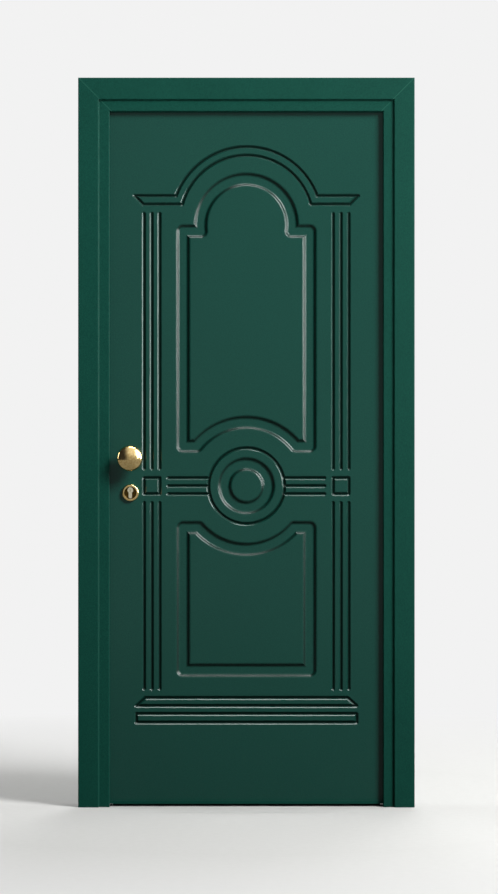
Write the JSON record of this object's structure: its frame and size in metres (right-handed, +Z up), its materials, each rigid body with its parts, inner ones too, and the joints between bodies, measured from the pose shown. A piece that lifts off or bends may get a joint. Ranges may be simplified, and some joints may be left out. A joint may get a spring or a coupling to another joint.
{
  "type": "front door with frame",
  "caption": "Armoured front door in a folded steel frame: carved green leaf with brass knob, multi-point lock, hinges, drop seal and lever inside.",
  "frame": {"origin": "on the floor line, in the middle of the frame's width and of the leaf's thickness", "axes": "+X to the right as seen from outside, +Y into the house, +Z up"},
  "size_m": [1.01, 0.203, 2.19],
  "materials": {
    "powder_coated_steel": "satin",
    "lacquered_fibreboard": "satin lacquer",
    "laminated_board": "satin",
    "zinc_coated_steel": "dull zinc",
    "ground_steel": "ground",
    "painted_hinge_steel": "satin",
    "polished_brass": "polished",
    "nickelled_brass": "satin nickel",
    "black_rubber": "matt",
    "mineral_wool": "fibrous",
    "mill_aluminium": "mill"
  },
  "bodies": {
    "frame": {"frame_left_jamb": "powder_coated_steel", "frame_right_jamb": "powder_coated_steel", "frame_header": "powder_coated_steel", "jamb_webs": "powder_coated_steel", "jamb_flanges": "powder_coated_steel", "head_web": "powder_coated_steel", "head_flange": "powder_coated_steel", "left_gasket": "black_rubber", "right_gasket": "black_rubber", "head_gasket": "black_rubber", "lock_keep": "zinc_coated_steel", "side_bolt_keeps": "zinc_coated_steel", "lower_hinge_frame_wing": "painted_hinge_steel", "upper_hinge_frame_wing": "painted_hinge_steel", "hinge_pins": "ground_steel", "hinge_washers": "polished_brass", "hinge_frame_screws": "ground_steel"},
    "leaf": {"core_tray": "zinc_coated_steel", "core_cover": "zinc_coated_steel", "core_stiffeners": "zinc_coated_steel", "wool_slabs": "mineral_wool", "inner_panel": "laminated_board", "carved_panel": "lacquered_fibreboard", "lock_edge_trim": "powder_coated_steel", "hinge_edge_trim": "powder_coated_steel", "top_edge_trim": "powder_coated_steel", "bottom_edge_trim": "powder_coated_steel", "lock_case": "zinc_coated_steel", "lock_cover": "zinc_coated_steel", "lower_deviator_case": "zinc_coated_steel", "upper_deviator_case": "zinc_coated_steel", "cylinder_body": "nickelled_brass", "cylinder_screw": "zinc_coated_steel", "cylinder_escutcheon": "polished_brass", "inner_escutcheon": "polished_brass", "knob_rosette": "polished_brass", "knob": "polished_brass", "knob_stud": "zinc_coated_steel", "lever_rosette": "polished_brass", "lower_hinge_leaf_wing": "painted_hinge_steel", "upper_hinge_leaf_wing": "painted_hinge_steel", "hinge_leaf_screws": "ground_steel", "hinge_dog_bolts": "ground_steel", "seal_housing": "mill_aluminium"},
    "lever": {"lever_handle": "polished_brass", "lever_spindle": "zinc_coated_steel", "lock_follower": "zinc_coated_steel"},
    "latch": {"latch": "ground_steel"},
    "bolts": {"deadbolts": "ground_steel", "bolt_carriage": "zinc_coated_steel"},
    "plug": {"outer_plug": "nickelled_brass", "inner_plug": "nickelled_brass", "cylinder_cam": "nickelled_brass"},
    "upper_rod": {"upper_rod": "ground_steel", "upper_slide_plate": "zinc_coated_steel"},
    "lower_rod": {"lower_rod": "ground_steel", "lower_slide_plate": "zinc_coated_steel"},
    "upper_side_bolt": {"upper_side_bolt": "ground_steel"},
    "lower_side_bolt": {"lower_side_bolt": "ground_steel"},
    "seal": {"seal_blade": "black_rubber"}
  },
  "joints": [
    {"name": "leaf_swing", "type": "hinge", "parent": "frame", "child": "leaf", "pos_m": [0.428, 0.0481, 0], "axis": [0, 0, -1], "range_deg": [0, 100]},
    {"name": "lever_turn", "type": "hinge", "parent": "leaf", "child": "lever", "pos_m": [-0.349, 0, 1.0476], "axis": [0, 1, 0], "range_deg": [0, 40], "stiffness_Nm_per_rad": 1.2, "springref_deg": -45.84},
    {"name": "latch_slide", "type": "slide", "parent": "leaf", "child": "latch", "axis": [-1, 0, 0], "range_m": [0, 0.012]},
    {"name": "bolt_throw", "type": "slide", "parent": "leaf", "child": "bolts", "axis": [-1, 0, 0], "range_m": [0, 0.036]},
    {"name": "plug_turn", "type": "hinge", "parent": "leaf", "child": "plug", "pos_m": [-0.349, 0, 0.9516], "axis": [0, 1, 0], "range_deg": [0, 720]},
    {"name": "upper_rod_slide", "type": "slide", "parent": "leaf", "child": "upper_rod", "axis": [0, 0, 1], "range_m": [0, 0.02]},
    {"name": "lower_rod_slide", "type": "slide", "parent": "leaf", "child": "lower_rod", "axis": [0, 0, -1], "range_m": [0, 0.02]},
    {"name": "upper_side_throw", "type": "slide", "parent": "leaf", "child": "upper_side_bolt", "axis": [-1, 0, 0], "range_m": [0, 0.024]},
    {"name": "lower_side_throw", "type": "slide", "parent": "leaf", "child": "lower_side_bolt", "axis": [-1, 0, 0], "range_m": [0, 0.024]},
    {"name": "seal_lift", "type": "slide", "parent": "leaf", "child": "seal", "axis": [0, 0, 1], "range_m": [0, 0.0075]}
  ],
  "couplings": [
    {"joint": "plug_turn", "follows": "bolt_throw", "rad_per_m": 349.06},
    {"joint": "upper_rod_slide", "follows": "bolt_throw", "ratio": 0.5555},
    {"joint": "lower_rod_slide", "follows": "bolt_throw", "ratio": 0.5555},
    {"joint": "upper_side_throw", "follows": "bolt_throw", "ratio": 0.6666},
    {"joint": "lower_side_throw", "follows": "bolt_throw", "ratio": 0.6666}
  ]
}
